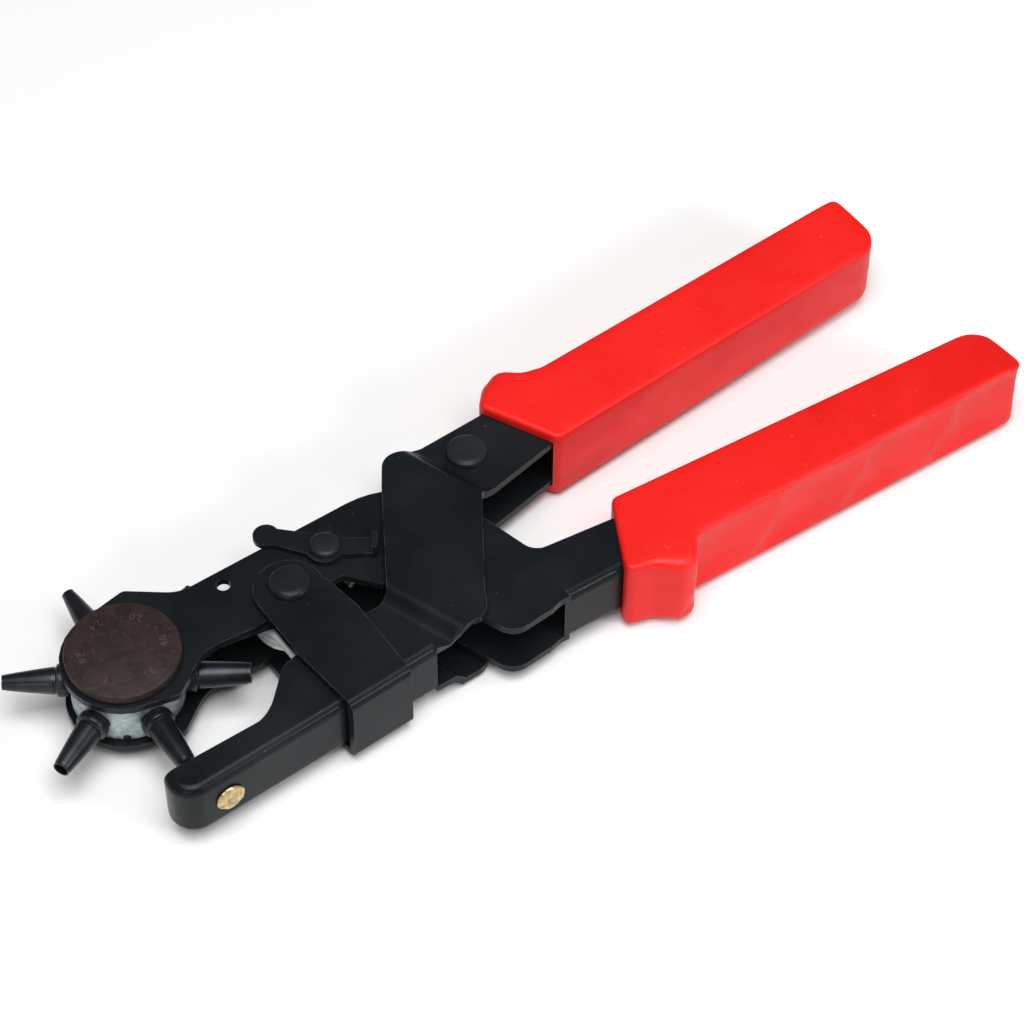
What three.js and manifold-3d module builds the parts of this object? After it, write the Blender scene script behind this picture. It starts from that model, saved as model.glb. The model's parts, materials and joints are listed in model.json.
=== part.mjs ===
// Rotary hole punch for leather: two folded sheet-steel levers crossing at one
// rivet, a six-tube turret at the head, a brass anvil, a return spring and a latch.
// Millimetres. The tool lies flat with +Z up through its thickness; +X runs along
// the tool from the main pivot to the handles and +Y to the turret's side.
// The main pivot's axis is the Z axis and the plane Z = 0 is what the tool lies on.
import * as THREE from 'three';
import { mergeVertices } from 'three/addons/utils/BufferGeometryUtils.js';
import Module from 'manifold-3d';

const wasm = await Module();
wasm.setup();

// ---- driving dimensions ----------------------------------------------------
const SHEET = 1.8;               // steel sheet of both levers and the strap
const GAP = 0.3;                 // clearance between neighbouring pieces
const REST = 12.0;               // mid-plane's height over the table

// half widths over each pair of plates, outside faces
const FRAME_H = 8.0;
const STRAP_H = 10.1;
const BRIDGE_H = 10.7;
const TANG_H = 7.7;

const TURRET = [-39.5, 5.5];     // turret axis in plan
const TUBES = 6;
const ACTIVE_ANGLE = -92;        // the tube that faces the anvil, degrees
const TIP_R = 27.3;              // turret axis to the tube tips
const DRUM_R = 12.7;
const DRUM_H = 5.8;
const DIAL_R = 13.0;
const AXLE_R = 2.4;

const LATCH = [12.3, 4.9];       // latch rivet in plan
const LATCH_T = 1.3;
const REAR = [54.2, 10.3];       // tie rivet of the upper handle
const SPRING_R = 8.0;            // mean radius of the return spring
const WIRE_R = 1.0;

// lower jaw's back: a straight web, y = WEB_Y + WEB_SLOPE * x
const WEB_Y = -32.4;
const WEB_SLOPE = 0.036;
const FOLD_R = 2.4;
const NOSE_X = -42.9;
const NOSE_R = 5.8;
const ANVIL_X = -37.3;
const ANVIL_FACE = -24.9;

// colours
const BLACK = '#22262a';
const RED = '#e8231f';
const STEEL = '#8d9298';

// ---- helpers ---------------------------------------------------------------
const rad = THREE.MathUtils.degToRad;

function joined(geometry) {
  const bare = new THREE.BufferGeometry();
  bare.setAttribute('position', geometry.getAttribute('position'));
  if (geometry.index) bare.setIndex(geometry.index);
  return mergeVertices(bare, 1e-4);
}

function solid(geometry) {
  const merged = joined(geometry);
  return new wasm.Manifold(new wasm.Mesh({
    numProp: 3,
    vertProperties: new Float32Array(merged.getAttribute('position').array),
    triVerts: new Uint32Array(merged.index.array),
  }));
}

// closed outline from corners [x, y, radius]
function outline(corners) {
  const shape = new THREE.Shape();
  const n = corners.length;
  corners.forEach(([x, y, r = 0], i) => {
    const p = new THREE.Vector2(x, y);
    const before = corners[(i + n - 1) % n];
    const after = corners[(i + 1) % n];
    const a = new THREE.Vector2(before[0], before[1]).sub(p).normalize();
    const b = new THREE.Vector2(after[0], after[1]).sub(p).normalize();
    const half = Math.acos(a.dot(b)) / 2;
    const start = p.clone().addScaledVector(a, r / Math.tan(half));
    if (i === 0) shape.moveTo(start.x, start.y);
    else shape.lineTo(start.x, start.y);
    if (r === 0) return;
    const end = p.clone().addScaledVector(b, r / Math.tan(half));
    const middle = a.clone().add(b).normalize();
    const c = p.clone().addScaledVector(middle, r / Math.sin(half));
    const from = Math.atan2(start.y - c.y, start.x - c.x);
    const to = Math.atan2(end.y - c.y, end.x - c.x);
    shape.absarc(c.x, c.y, r, from, to, a.cross(b) > 0);
  });
  shape.closePath();
  return shape;
}

function circle(r, x = 0, y = 0) {
  const shape = new THREE.Shape();
  shape.absarc(x, y, r, 0, 2 * Math.PI);
  return shape;
}

// upright prism of a plan outline between two heights
function prism(shape, low, high, curveSegments = 4) {
  const g = new THREE.ExtrudeGeometry(shape, {
    depth: high - low, bevelEnabled: false, curveSegments,
  });
  return solid(g.translate(0, 0, low));
}

function cylinder(r, low, high, [x, y] = [0, 0], segments = 32) {
  return prism(circle(r, x, y), low, high, segments / 2);
}

// solid of revolution about Z from [radius, height] points that start and end
// on the axis, or meet themselves
function lathe(points, segments = 40) {
  const line = points.map(([r, z]) => new THREE.Vector2(r, z));
  const g = new THREE.LatheGeometry(line, segments);
  return solid(g.rotateX(Math.PI / 2));
}

function moved(body, [x, y], z = 0) {
  return body.translate([x, y, z]);
}

function mirrored(body) {
  return body.mirror([0, 0, 1]);
}

function both(body) {
  return body.add(mirrored(body));
}

// half-round rivet head profile above a flat underside at height z
function headProfile(r, z, height, flat, steps = 4) {
  const edge = 0.35 * height;
  const points = [[r, z]];
  for (let i = 0; i <= steps; i += 1) {
    const t = (i / steps) * (Math.PI / 2);
    points.push([
      flat + (r - flat) * Math.cos(t),
      z + edge + (height - edge) * Math.sin(t),
    ]);
  }
  return points;
}

// rivet along Z: shank between two domed heads
function rivet(shank, head, top, topHeight, bottom, bottomHeight, segments = 28) {
  const flat = 0.55 * head;
  const above = headProfile(head, top, topHeight, flat);
  const below = headProfile(head, -bottom, bottomHeight, flat);
  return lathe([
    [0, bottom - bottomHeight],
    ...below.map(([r, z]) => [r, -z]).reverse(),
    [shank, bottom],
    [shank, top],
    ...above,
    [0, top + topHeight],
  ], segments);
}

function tube(outer, inner, low, high) {
  return lathe([
    [inner, low], [outer, low], [outer, high], [inner, high], [inner, low],
  ], 32);
}

// region outside a rounded edge, used to round the outside of a fold;
// it runs along +X from the origin, the edge being at y = 0 and height h
function foldCutter(length, r, h) {
  const s = new THREE.Shape();
  s.moveTo(-1, h + 1);
  s.lineTo(-1, h - r);
  s.lineTo(0, h - r);
  s.absarc(r, h - r, r, Math.PI, Math.PI / 2, true);
  s.lineTo(r, h + 1);
  s.closePath();
  const g = new THREE.ExtrudeGeometry(s, {
    depth: length, bevelEnabled: false, curveSegments: 3,
  });
  // shape axes (x, y) become (Y, Z) and the length runs along X
  const turn = new THREE.Matrix4().makeBasis(
    new THREE.Vector3(0, 1, 0),
    new THREE.Vector3(0, 0, 1),
    new THREE.Vector3(1, 0, 0),
  );
  return both(solid(g.applyMatrix4(turn)));
}

// the same cutter swept round a nose of the given radius, for the half left of
// the origin
function noseCutter(radius, r, h) {
  const points = [[radius - r, h + 1]];
  for (let i = 0; i <= 6; i += 1) {
    const t = (i / 6) * (Math.PI / 2);
    points.push([radius - r + r * Math.sin(t), h - r + r * Math.cos(t)]);
  }
  points.push([radius + 1, h - r], [radius + 1, h + 1], [radius - r, h + 1]);
  return both(lathe(points, 48).intersect(
    prism(outline([[-9, -9], [0, -9], [0, 9], [-9, 9]]), 0, 12),
  ));
}

// the same cutter laid along a straight fold from one plan point to another
function foldCutterAlong([x0, y0], [x1, y1], r, h) {
  const length = Math.hypot(x1 - x0, y1 - y0);
  const turn = THREE.MathUtils.radToDeg(Math.atan2(y1 - y0, x1 - x0));
  return foldCutter(length, r, h).rotate([0, 0, turn]).translate([x0, y0, 0]);
}

const group = new THREE.Group();
group.name = 'rotary_hole_punch';

function addPiece(name, body, color, roughness, metalness) {
  const mesh = body.translate([0, 0, REST]).getMesh();
  const g = new THREE.BufferGeometry();
  g.setAttribute('position', new THREE.BufferAttribute(mesh.vertProperties, 3));
  g.setIndex(new THREE.BufferAttribute(mesh.triVerts, 1));
  g.computeVertexNormals();
  const material = new THREE.MeshStandardMaterial({ color, roughness, metalness });
  material.name = name;
  const piece = new THREE.Mesh(g, material);
  piece.name = name;
  group.add(piece);
}

const webY = (x) => WEB_Y + WEB_SLOPE * x;

// ---- frame: turret plates running back into the lower handle ----------------
const LOW_WEB = [[47.5, -36.5], [156, -40.0]];   // fold line of the handle
const frameOutline = outline([
  [-39.5, 19.6],
  [-30.6, 21.0, 2.2],
  [-20.6, 13.5, 9],
  [36.8, 13.5, 22],
  [45.6, -3.5, 12],
  [50.6, -21.8, 4.5],
  [70, -24.2, 20],
  [156, -29.6],
  LOW_WEB[1],
  LOW_WEB[0].concat(2),
  [44.6, -37.2, 3],
  [33.9, -37.9, 5],
  [22.4, -10.0, 1.2],
  [17.4, -10.0],
  [11.6, -3.0, 1.6],
  [-12, -4.2, 8],
  [-24.5, -3.0, 12],
  [-34.5, -10.2, 3],
  [-41.2, -8.5],
]);
const framePlate = prism(frameOutline, FRAME_H - SHEET, FRAME_H)
  .add(cylinder(14.1, FRAME_H - SHEET, FRAME_H, TURRET))
  .add(cylinder(7.0, FRAME_H - SHEET, FRAME_H))
  .subtract(cylinder(2.9 + GAP, 0, 12))
  .subtract(cylinder(1.65 + GAP, 0, 12, LATCH, 20))
  .subtract(cylinder(AXLE_R + GAP, 0, 12, TURRET, 24))
  .subtract(cylinder(1.6, 0, 12, [-11.4, 9.7], 20));

const DETENT = [TURRET[0] + 9.5, TURRET[1]];     // ball under the drum's rim
const LEAF_RIVET = [-19.5, TURRET[1]];
const handleWeb = prism(outline([
  [48.6, -36.535],
  LOW_WEB[1],
  [156, -40.0 + SHEET],
  [50.4, -36.59 + SHEET],
]), -FRAME_H, FRAME_H);
const frame = both(framePlate)
  .add(handleWeb)
  .subtract(foldCutterAlong([50, -36.58], LOW_WEB[1], FOLD_R, FRAME_H))
  .subtract(cylinder(1.75, -9, 0, DETENT, 20))
  .subtract(cylinder(1.2 + GAP, -9, 0, LEAF_RIVET, 20));
addPiece('frame', frame, BLACK, 0.38, 0.45);

// ---- lever: lower jaw, raised bridge over the frame, upper handle -----------
const webTurn = Math.atan(WEB_SLOPE);
const nose = [
  NOSE_X - NOSE_R * Math.sin(webTurn),
  webY(NOSE_X) + NOSE_R * Math.cos(webTurn),
];

// plan of the jaw, an inset inside its back and nose, up to a height above the
// nose's centre and back to a right-hand end
const JAW_EDGE = 2.3;
function jawPlan(inset, height, end) {
  const shape = new THREE.Shape();
  const r = NOSE_R - inset;
  const start = Math.asin(height / r);
  shape.moveTo(end, nose[1] + height);
  shape.lineTo(end, webY(end) + inset / Math.cos(webTurn));
  shape.absarc(nose[0], nose[1], r, webTurn - Math.PI / 2, -start - Math.PI, true);
  shape.closePath();
  return shape;
}
const leverOutline = outline([
  [nose[0], nose[1] + JAW_EDGE],
  [-22.5, -26.3, 12],
  [-12.4, -16.4, 6],
  [-4, -14.6, 4],
  [13.4, -14.9, 1.2],
  [16.5, -13.7, 0.8],
  [31.6, 11.2, 12],
  [36.4, 18.3, 4.5],
  [43, 17.2, 6],
  [66, 17.9, 10],
  [152, 20.6],
  [152, 8.0],
  [72, 1.6, 10],
  [49.6, -2.6, 1.5],
  [34.6, -25.6, 8],
  [31.4, -31.6, 4.5],
  [18.0, webY(18)],
  [nose[0], -31.0],
]);
const STEP_ANGLE = 21.5;         // both joggle lines are square to this direction
const FOOT = 8.8;                // rise of the bridge starts, from the pivot
const CREST = 11.0;
const SHOULDER = 44.7;           // drop to the upper handle starts
const HEEL = 48.0;

function stepShift(run, rise) {
  return SHEET * Math.tan(Math.atan2(rise, run) / 2);
}
const up = stepShift(CREST - FOOT, BRIDGE_H - FRAME_H);
const down = stepShift(HEEL - SHOULDER, BRIDGE_H - TANG_H);
const section = outline([
  [-70, FRAME_H],
  [FOOT, FRAME_H],
  [CREST, BRIDGE_H],
  [SHOULDER, BRIDGE_H],
  [HEEL, TANG_H],
  [170, TANG_H],
  [170, TANG_H - SHEET],
  [HEEL - down, TANG_H - SHEET],
  [SHOULDER - down, BRIDGE_H - SHEET],
  [CREST + up, BRIDGE_H - SHEET],
  [FOOT + up, FRAME_H - SHEET],
  [-70, FRAME_H - SHEET],
]);
const layered = solid(new THREE.ExtrudeGeometry(section, {
  depth: 160, bevelEnabled: false,
}).translate(0, 0, -80).rotateX(Math.PI / 2)).rotate([0, 0, STEP_ANGLE]);

// the jaw itself: a channel closed by its back and its round nose
const jaw = prism(jawPlan(0, JAW_EDGE, 17.6), -FRAME_H, FRAME_H, 10)
  .subtract(prism(jawPlan(SHEET, 3.4, 20), SHEET - FRAME_H, FRAME_H - SHEET, 10));
const anvilHole = new THREE.CylinderGeometry(2.5 + GAP, 2.5 + GAP, 8, 24)
  .translate(ANVIL_X, webY(ANVIL_X), 0);
const leverBody = both(prism(leverOutline, 0, 20)
  .intersect(layered)
  .subtract(cylinder(2.5 + GAP, 0, 12, REAR, 24)))
  .add(jaw)
  .subtract(foldCutterAlong(
    [NOSE_X - 0.5, webY(NOSE_X - 0.5)], [17.6, webY(17.6)], FOLD_R, FRAME_H,
  ))
  .subtract(moved(noseCutter(NOSE_R, FOLD_R, FRAME_H)
    .rotate([0, 0, THREE.MathUtils.radToDeg(webTurn)]), nose))
  .subtract(solid(anvilHole))
  .subtract(cylinder(WIRE_R + GAP, 0, 12, [-7.0, -18.4], 20));
addPiece('lever', leverBody, BLACK, 0.38, 0.45);

// ---- strap round the jaw carrying the pivot ---------------------------------
const strapBack = (x) => -35.0 + 0.045 * x;
const strapPlan = outline([
  [-8.8, -0.8],
  [7.2, -0.8, 4],
  [9.2, -13, 8],
  [9.2, strapBack(9.2)],
  [-6.5, strapBack(-6.5)],
  [-8.7, -17, 20],
]);
const strapEnd = [-0.8, -0.8];
const strapWebPlan = outline([
  [-6.5, strapBack(-6.5)],
  [9.2, strapBack(9.2)],
  [9.2, strapBack(9.2) + SHEET],
  [-6.65, strapBack(-6.65) + SHEET],
]);
const strapPlate = prism(strapPlan, STRAP_H - SHEET, STRAP_H)
  .add(cylinder(8.0, STRAP_H - SHEET, STRAP_H, strapEnd, 48))
  .subtract(cylinder(2.9 + GAP, 0, 12));
const strap = both(strapPlate)
  .add(prism(strapWebPlan, -STRAP_H, STRAP_H))
  .subtract(foldCutterAlong(
    [-9, strapBack(-9)], [10, strapBack(10)], FOLD_R, STRAP_H,
  ));
addPiece('pivot_strap', strap, BLACK, 0.38, 0.45);

// ---- rivets, spacers ---------------------------------------------------------
const pivotTop = STRAP_H + GAP;
const pivotHead = REST - pivotTop;
addPiece('pivot_rivet',
  rivet(2.9, 4.75, pivotTop, pivotHead, -pivotTop, pivotHead), '#2c3034', 0.35, 0.6);
addPiece('pivot_sleeve',
  tube(6.3, 2.9 + GAP, -5.9, 5.9), STEEL, 0.4, 0.9);

const rearTop = TANG_H + GAP;
addPiece('rear_rivet',
  moved(rivet(2.5, 4.75, rearTop, 1.5, -rearTop, 1.5), REAR), '#2c3034', 0.35, 0.6);
addPiece('rear_spacer',
  moved(tube(4.2, 2.5 + GAP, -5.6, 5.6), REAR), STEEL, 0.4, 0.9);

// ---- latch ---------------------------------------------------------------------
const latchLow = FRAME_H + GAP;
const latchTop = latchLow + LATCH_T;
const KNOB = [-9.1, 10.2];       // from the latch rivet
const KNOB_TURN = Math.atan2(KNOB[1], KNOB[0]);
const KNOB_L = Math.hypot(KNOB[0], KNOB[1]);
const TAIL_ANGLE = -33;
const TAIL_L = 11.8;
const TAIL_W = 2.2;
const arm = prism(outline([
  [0, -3.2], [KNOB_L - 2, -2.3], [KNOB_L - 2, 2.3], [0, 3.2],
]), latchLow, latchTop).rotate([0, 0, THREE.MathUtils.radToDeg(KNOB_TURN)]);
const tail = prism(outline([
  [0, -TAIL_W - 0.3], [TAIL_L, -TAIL_W, 0.5], [TAIL_L, TAIL_W, 0.5], [0, TAIL_W + 0.3],
]), latchLow, latchTop)
  .add(prism(outline([
    [TAIL_L - LATCH_T, -TAIL_W],
    [TAIL_L, -TAIL_W, 0.5],
    [TAIL_L, TAIL_W, 0.5],
    [TAIL_L - LATCH_T, TAIL_W],
  ]), latchLow, latchTop + 2.2))
  .rotate([0, 0, TAIL_ANGLE]);
const latch = cylinder(4.4, latchLow, latchTop)
  .add(arm)
  .add(moved(cylinder(3.0, latchLow, latchTop), KNOB))
  .add(tail)
  .subtract(cylinder(1.65 + GAP, 0, 20, [0, 0], 20));
addPiece('latch_lever', moved(latch, LATCH), '#2a2e32', 0.42, 0.5);
addPiece('latch_rivet', moved(
  rivet(1.65, 3.45, latchTop + GAP, 1.1, -FRAME_H - GAP, 1.0, 24), LATCH,
), '#2c3034', 0.35, 0.6);
addPiece('latch_sleeve',
  moved(tube(2.3, 1.65 + GAP, -5.9, 5.9), LATCH), STEEL, 0.4, 0.9);

// ---- return spring ---------------------------------------------------------------
class SpringLine extends THREE.Curve {
  // coil of 3.25 turns about Z, falling from one leg to the other
  getPoint(t, target = new THREE.Vector3()) {
    const a = Math.PI - t * 3.25 * 2 * Math.PI;
    const z = 3.4 - 6.8 * t;
    return target.set(SPRING_R * Math.cos(a), SPRING_R * Math.sin(a), z);
  }
}
const springPath = [
  new THREE.Vector3(-7.0, -18.4, 7.4),
  new THREE.Vector3(-7.0, -18.4, 5.2),
  new THREE.Vector3(-7.1, -17.6, 3.9),
  new THREE.Vector3(-7.25, -15.8, 3.45),
  new THREE.Vector3(-7.6, -8.0, 3.4),
];
const coil = new SpringLine();
for (let i = 0; i <= 78; i += 1) springPath.push(coil.getPoint(i / 78));
springPath.push(
  new THREE.Vector3(4.0, 8.1, -3.4),
  new THREE.Vector3(12.3, 8.6, -3.4),
  new THREE.Vector3(14.6, 8.5, -3.4),
  new THREE.Vector3(15.9, 7.3, -3.4),
  new THREE.Vector3(16.3, 5.0, -3.4),
  new THREE.Vector3(16.3, 0.8, -3.4),
);
const springCurve = new THREE.CatmullRomCurve3(springPath, false, 'centripetal');
const spring = new THREE.ExtrudeGeometry(circle(WIRE_R), {
  steps: 124, bevelEnabled: false, extrudePath: springCurve, curveSegments: 4,
});
addPiece('return_spring', solid(spring), '#b9bec2', 0.25, 1.0);

// ---- turret --------------------------------------------------------------------
let drum = lathe([
  [AXLE_R + GAP, -DRUM_H], [DRUM_R - 0.5, -DRUM_H], [DRUM_R, -DRUM_H + 0.5],
  [DRUM_R, DRUM_H - 0.5], [DRUM_R - 0.5, DRUM_H], [AXLE_R + GAP, DRUM_H],
  [AXLE_R + GAP, -DRUM_H],
], 48);
for (let i = 0; i < TUBES; i += 1) {
  const angle = ACTIVE_ANGLE + (i * 360) / TUBES;
  const socket = cylinder(2.9 + GAP, 8.2, 16, [0, 0], 24)
    .rotate([0, 90, 0]).rotate([0, 0, angle]);
  const dimple = lathe([[0, -7.3], [1.5, -7.3], [0, -4.9]], 16)
    .translate([9.5, 0, 0]).rotate([0, 0, (i * 360) / TUBES]);
  drum = drum.subtract(socket).subtract(dimple);
}
addPiece('turret_drum', moved(drum, TURRET), '#aebcbd', 0.42, 0.75);

const TUBE_BORES = [3.6, 4.0, 2.0, 2.4, 2.8, 3.2];
TUBE_BORES.forEach((bore, i) => {
  const inner = bore / 2;
  const tip = 1.5 + 0.225 * bore;
  const body = lathe([
    [inner, 8.5], [2.9, 8.5], [2.9, 13.0], [3.5, 13.0], [3.7, 13.2], [3.7, 15.0],
    [3.4, 15.3], [3.1, 15.5], [tip + 0.1, TIP_R - 1.2], [tip - 0.1, TIP_R - 0.3],
    [inner + 0.25, TIP_R], [inner, TIP_R], [inner, 8.5],
  ], 24).rotate([0, 90, 0]).rotate([0, 0, ACTIVE_ANGLE + (i * 360) / TUBES]);
  addPiece(`punch_tube_${i + 1}`, moved(body, TURRET), '#31353a', 0.4, 0.7);
});

addPiece('turret_axle', moved(lathe([
  [0, -10.2], [3.6, -10.2], [4.0, -9.8], [4.0, -9.4], [AXLE_R, -9.4],
  [AXLE_R, 9.2], [0, 9.2],
], 28), TURRET), STEEL, 0.35, 0.9);
addPiece('axle_washer', moved(
  tube(5.5, AXLE_R + GAP, -9.1, -FRAME_H - GAP), TURRET,
), STEEL, 0.4, 0.9);

const dialTop = 10.6;
addPiece('size_dial', moved(lathe([
  [0, 9.5], [AXLE_R + GAP, 9.5], [AXLE_R + GAP, FRAME_H + GAP],
  [DIAL_R - 0.3, FRAME_H + GAP], [DIAL_R, FRAME_H + GAP + 0.3],
  [DIAL_R, dialTop - 0.7], [DIAL_R - 0.2, dialTop - 0.2],
  [DIAL_R - 0.7, dialTop], [0, dialTop],
], 56), TURRET), '#43302e', 0.55, 0.05);

// click detent: ball in the lower plate, pushed up by a riveted leaf
const ball = new THREE.SphereGeometry(1.4, 16, 8).rotateX(Math.PI / 2);
addPiece('detent_ball',
  moved(solid(ball), DETENT, -7.5), '#c4c8cb', 0.15, 1.0);
const leafRun = LEAF_RIVET[0] - DETENT[0];
const leaf = prism(outline([
  [-2.2, -2, 1], [leafRun + 2.4, -2.6, 1.5], [leafRun + 2.4, 2.6, 1.5], [-2.2, 2, 1],
]), -9.7, -9.2).subtract(cylinder(1.2 + GAP, -12, 0, [leafRun, 0], 20));
addPiece('detent_leaf', moved(leaf, DETENT), STEEL, 0.35, 0.9);
addPiece('leaf_rivet', moved(
  rivet(1.2, 2.2, -5.9, 0.7, -10.0, 0.7, 16), LEAF_RIVET,
), STEEL, 0.4, 0.8);

// ---- anvil -----------------------------------------------------------------------
const anvilBack = webY(ANVIL_X);
const anvil = new THREE.LatheGeometry([
  [0, anvilBack - 1.5], [2.6, anvilBack - 1.5], [3.3, anvilBack - 1.1],
  [3.5, anvilBack - GAP], [2.5, anvilBack - GAP], [2.5, anvilBack + SHEET + GAP],
  [4.6, anvilBack + SHEET + GAP], [4.6, ANVIL_FACE - 0.4],
  [4.2, ANVIL_FACE], [0, ANVIL_FACE],
].map(([r, y]) => new THREE.Vector2(r, y)), 36).translate(ANVIL_X, 0, 0);
addPiece('anvil', solid(anvil), '#c9a566', 0.35, 0.9);

// ---- moulded grips ------------------------------------------------------------------
const GRIP_H = 10.5;
const EDGE = 2.0;
const GRIP_FRONT = 72;           // each grip thins from here to its free end,
const GRIP_RUN = 100;            // most on the side that faces the other grip
const THINNING = 0.2;
function grip(corners, outerY, width, cavity, cavityH) {
  const skin = joined(new THREE.ExtrudeGeometry(outline(corners), {
    depth: 2 * (GRIP_H - EDGE), curveSegments: 4,
    bevelEnabled: true, bevelThickness: EDGE, bevelSize: EDGE,
    bevelOffset: -EDGE, bevelSegments: 3,
  }).translate(0, 0, -(GRIP_H - EDGE)));
  const place = skin.getAttribute('position');
  for (let i = 0; i < place.count; i += 1) {
    const along = (place.getX(i) - GRIP_FRONT) / GRIP_RUN;
    const across = Math.abs(place.getY(i) - outerY) / width;
    const thin = THINNING * THREE.MathUtils.clamp(along, 0, 1)
      * THREE.MathUtils.clamp(across, 0, 1);
    place.setZ(i, place.getZ(i) * (1 - thin));
  }
  return solid(skin)
    .subtract(prism(outline(cavity), -cavityH, cavityH));
}
const upperGrip = grip([
  [72.6, 0.2, 2.2], [173.8, 6.9, 7], [172.0, 24.0, 2.6], [82, 20.4, 3],
  [77.2, 21.8, 3], [72.6, 25.6, 2.6], [67.2, 23.2, 2.6], [63.2, 18.6, 2.2],
], 24, 17, [
  [60, 18.1], [66, 18.25], [152.4, 20.95], [152.4, 7.65], [72, 1.25], [60, -1.2],
], TANG_H + GAP);
addPiece('upper_grip', upperGrip, RED, 0.42, 0.0);
const lowerGrip = grip([
  [72.4, -20.6, 2.2], [62.8, -39.6, 2.2], [69.6, -41.6, 3], [74.2, -46.0, 2.4],
  [78.4, -45.8, 2.4], [81.4, -40.2, 3], [175.2, -43.2, 2.6], [175.0, -26.8, 7],
], -43, 17, [
  [60, -22.6], [70, -23.85], [156.4, -29.25], [156.4, -40.35], [60, -37.25],
], FRAME_H + GAP);
addPiece('lower_grip', lowerGrip, RED, 0.42, 0.0);

export default group;
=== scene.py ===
import json
import math

import bmesh
import bpy
from mathutils import Matrix, Vector, noise

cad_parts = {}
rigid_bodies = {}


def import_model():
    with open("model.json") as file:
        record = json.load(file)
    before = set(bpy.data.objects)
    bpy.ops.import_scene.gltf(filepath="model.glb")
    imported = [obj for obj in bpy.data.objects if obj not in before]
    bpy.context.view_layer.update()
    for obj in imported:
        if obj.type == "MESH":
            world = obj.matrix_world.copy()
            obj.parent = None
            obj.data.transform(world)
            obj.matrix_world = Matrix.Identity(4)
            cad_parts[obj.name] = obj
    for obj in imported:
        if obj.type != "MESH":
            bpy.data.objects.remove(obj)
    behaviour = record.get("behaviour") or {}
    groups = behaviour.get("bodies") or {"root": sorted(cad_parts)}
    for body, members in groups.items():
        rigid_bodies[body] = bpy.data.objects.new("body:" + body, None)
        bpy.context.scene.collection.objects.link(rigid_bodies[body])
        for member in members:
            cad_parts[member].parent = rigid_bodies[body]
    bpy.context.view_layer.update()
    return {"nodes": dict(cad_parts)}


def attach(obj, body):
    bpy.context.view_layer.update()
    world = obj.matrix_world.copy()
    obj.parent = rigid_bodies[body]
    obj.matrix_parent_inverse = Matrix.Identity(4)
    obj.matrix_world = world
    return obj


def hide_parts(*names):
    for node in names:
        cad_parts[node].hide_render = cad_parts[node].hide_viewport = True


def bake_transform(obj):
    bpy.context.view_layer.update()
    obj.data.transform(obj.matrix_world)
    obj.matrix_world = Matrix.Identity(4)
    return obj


MM = 0.001

for leftover in list(bpy.data.objects):
    bpy.data.objects.remove(leftover, do_unlink=True)

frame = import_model()
NODES = frame["nodes"]

MID = 12.0                       # mid-plane's height over the floor
TURRET = (-39.5, 5.5)            # plan position of the turret's axis
DRUM_R = 12.7
ACTIVE_ANGLE = -92.0             # plan angle of the tube that meets the anvil
TUBE_STEP = 60.0
TIP_R = 27.3                     # turret's axis to a tube's cutting edge
TUBE_BORES = (3.6, 4.0, 2.0, 2.4, 2.8, 3.2)


# ---- camera ------------------------------------------------------------------------
def make_camera():
    place = Vector((-213.3, -389.9, 607.5)) * MM
    look = Vector((0.3555, 0.5077, -0.7848)).normalized()
    roll = math.radians(0.19)
    right = look.cross(Vector((0, 0, 1))).normalized()
    up = right.cross(look).normalized()
    turned_right = right * math.cos(roll) + up * math.sin(roll)
    turned_up = up * math.cos(roll) - right * math.sin(roll)
    data = bpy.data.cameras.new("camera")
    data.lens = 116.9
    data.sensor_width = 36.0
    data.clip_start = 0.05
    data.clip_end = 20.0
    camera = bpy.data.objects.new("camera", data)
    basis = Matrix((turned_right, turned_up, -look)).transposed().to_4x4()
    camera.matrix_world = Matrix.Translation(place) @ basis
    bpy.context.scene.collection.objects.link(camera)
    bpy.context.scene.camera = camera


make_camera()


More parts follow.
